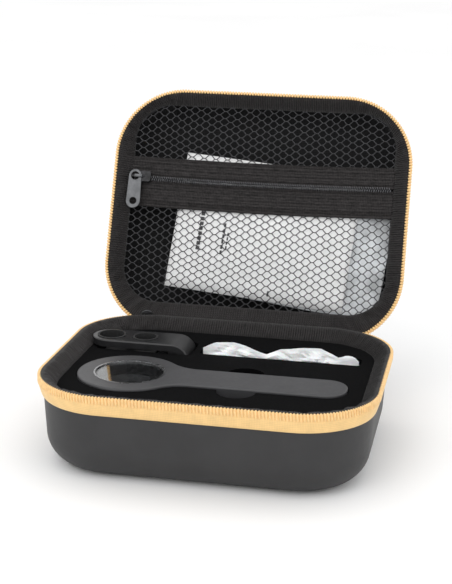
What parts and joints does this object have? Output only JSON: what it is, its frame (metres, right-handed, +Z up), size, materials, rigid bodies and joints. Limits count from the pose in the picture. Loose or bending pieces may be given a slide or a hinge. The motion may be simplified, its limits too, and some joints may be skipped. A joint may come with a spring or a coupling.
{
  "type": "dermatoscope kit in zip case",
  "caption": "Zip-around moulded case on a cloth hinge, with a lit hand-held skin magnifier, a phone clip and a pouch in cut foam, and a net pocket with papers in its lid.",
  "frame": {"origin": "middle of the case's flat bottom face, on the surface it stands on", "axes": "+X to the right along the long side, +Y to the hinge at the back, +Z up out of the base"},
  "size_m": [0.2, 0.2459, 0.1932],
  "materials": {
    "shell": "satin",
    "lining": "matte",
    "zip_tape": "matte",
    "zip_teeth": "satin",
    "binding": "matte",
    "foam": "matte",
    "net": "matte",
    "pocket_tape": "matte",
    "pocket_coil": "satin",
    "slider": "satin",
    "paper": "matte",
    "bag": "satin",
    "housing": "matte",
    "bezel": "satin",
    "glass": "gloss",
    "barrel": "matte",
    "board": "satin",
    "light": "gloss",
    "polariser": "gloss",
    "rubber": "matte",
    "steel": "satin",
    "cell": "satin",
    "pouch": "satin",
    "button": "satin"
  },
  "bodies": {
    "base": {"base_shell": "shell", "base_lining": "lining", "base_zip_tape": "zip_tape", "base_zip_teeth": "zip_teeth", "base_binding": "binding", "foam_floor": "foam", "foam_insert": "foam", "hinge_fabric": "binding", "main_slider_body": "slider"},
    "main_pull": {"main_pull_tab": "slider"},
    "lid": {"lid_shell": "shell", "lid_lining": "lining", "lid_zip_tape": "zip_tape", "lid_zip_teeth": "zip_teeth", "lid_binding": "binding", "pocket_net_lower": "net", "pocket_net_upper": "net", "pocket_tape_lower": "pocket_tape", "pocket_tape_upper": "pocket_tape", "pocket_zip_coil": "pocket_coil", "leaflet": "paper", "cloth_bag": "bag"},
    "pocket_slider": {"pocket_slider_body": "slider"},
    "pocket_pull": {"pocket_pull_tab": "slider"},
    "magnifier": {"top_cover": "housing", "lower_housing": "housing", "eyepiece_bezel": "bezel", "eyepiece_window": "glass", "lens_barrel": "barrel", "objective_lens": "glass", "lens_retainer": "barrel", "light_board": "board", "light_diodes": "light", "polariser_ring": "polariser", "main_board": "board", "board_switches": "steel", "battery": "cell", "charging_socket": "steel", "charge_light": "light", "housing_screws": "steel"},
    "focus_ring": {"focus_ring": "rubber"},
    "focus_cone": {"contact_cone": "barrel", "contact_plate": "glass"},
    "power_button": {"power_button": "button"},
    "mode_button": {"mode_button": "button"},
    "phone_clip": {"clip_upper_arm": "housing", "clip_eye_large": "barrel", "clip_eye_small": "barrel", "clip_pad_upper": "rubber", "clip_pin": "steel", "clip_spring": "steel"},
    "clip_jaw": {"clip_lower_arm": "housing", "clip_pad_lower": "rubber"},
    "pouch": {"spare_pouch": "pouch"}
  },
  "joints": [
    {"name": "lid_hinge", "type": "hinge", "parent": "base", "child": "lid", "pos_m": [0, 0.0774, 0.0475], "axis": [-1, 0, 0], "range_deg": [-112, 0], "deforming": ["hinge_fabric"]},
    {"name": "main_pull_swing", "type": "hinge", "parent": "base", "child": "main_pull", "pos_m": [-0.06743, 0.08613, 0.0492], "axis": [0.9659, 0.2588, 0], "range_deg": [0, 20]},
    {"name": "pocket_slide", "type": "slide", "parent": "lid", "child": "pocket_slider", "axis": [1, 0, 0], "range_m": [0, 0.155]},
    {"name": "pocket_pull_swing", "type": "hinge", "parent": "pocket_slider", "child": "pocket_pull", "pos_m": [-0.0845, 0.12141, 0.13628], "axis": [-1, 0, 0], "range_deg": [0, 110]},
    {"name": "magnifier_lift", "type": "slide", "parent": "base", "child": "magnifier", "axis": [0, 0, 1], "range_m": [0, 0.06]},
    {"name": "focus_turn", "type": "hinge", "parent": "magnifier", "child": "focus_ring", "pos_m": [-0.051, -0.0185, 0.028], "axis": [0, 0, 1], "range_deg": [0, 270]},
    {"name": "focus_slide", "type": "slide", "parent": "magnifier", "child": "focus_cone", "axis": [0, 0, -1], "range_m": [0, 0.004]},
    {"name": "power_press", "type": "slide", "parent": "magnifier", "child": "power_button", "axis": [0, 0, 1], "range_m": [0, 0.0006], "stiffness_N_per_m": 900, "springref_m": -0.0006},
    {"name": "mode_press", "type": "slide", "parent": "magnifier", "child": "mode_button", "axis": [0, 0, 1], "range_m": [0, 0.0006], "stiffness_N_per_m": 900, "springref_m": -0.0006},
    {"name": "clip_lift", "type": "slide", "parent": "base", "child": "phone_clip", "axis": [0, 0, 1], "range_m": [0, 0.05]},
    {"name": "jaw_open", "type": "hinge", "parent": "phone_clip", "child": "clip_jaw", "pos_m": [-0.035, 0.037, 0.038], "axis": [0, -1, 0], "range_deg": [0, 12], "stiffness_Nm_per_rad": 0.5, "springref_deg": -17.19, "deforming": ["clip_spring"]},
    {"name": "pouch_lift", "type": "slide", "parent": "base", "child": "pouch", "axis": [0, 0, 1], "range_m": [0, 0.05]}
  ],
  "couplings": [
    {"joint": "focus_slide", "follows": "focus_turn", "m_per_rad": 0.000848}
  ]
}
